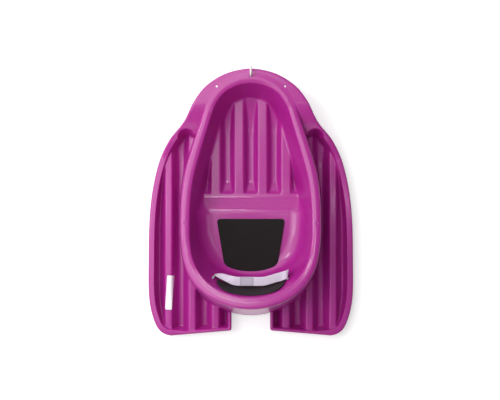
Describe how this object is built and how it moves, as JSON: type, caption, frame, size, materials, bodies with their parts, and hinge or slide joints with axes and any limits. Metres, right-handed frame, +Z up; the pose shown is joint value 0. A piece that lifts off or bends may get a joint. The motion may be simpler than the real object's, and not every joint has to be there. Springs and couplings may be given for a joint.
{
  "type": "baby pull sled",
  "caption": "Moulded plastic baby sled with an egg-shaped tub seat, high backrest, ribbed wings, foam pads, hook-and-loop lap belt and a tow rope coiled under its nose.",
  "frame": {"origin": "on the ground, under the middle of the moulding's length and width", "axes": "+Y forward to the nose, +X to the rider's right, +Z up"},
  "size_m": [0.5958, 0.779, 0.2193],
  "materials": {
    "shell": "glossy moulded pink",
    "seat_foam": "matte closed-cell foam",
    "back_foam": "matte closed-cell foam",
    "webbing": "woven",
    "tape": "hook-and-loop pile",
    "rope": "braided",
    "tie": "woven strap"
  },
  "bodies": {
    "sled": {"sled_shell": "shell", "seat_pad": "seat_foam", "back_pad": "back_foam", "belt_left": "webbing", "loop_tape": "tape", "rope_stopper_knot": "rope", "tow_rope": "rope", "tow_rope_coil": "rope", "rope_end_knot": "rope", "coil_tie": "tie"},
    "belt_flap": {"belt_right": "webbing", "hook_tape": "tape"}
  },
  "joints": [
    {"name": "belt_opening", "type": "hinge", "parent": "sled", "child": "belt_flap", "pos_m": [0.085, -0.2022, 0.165], "axis": [-0.1182, 0.993, 0], "range_deg": [0, 75]}
  ]
}
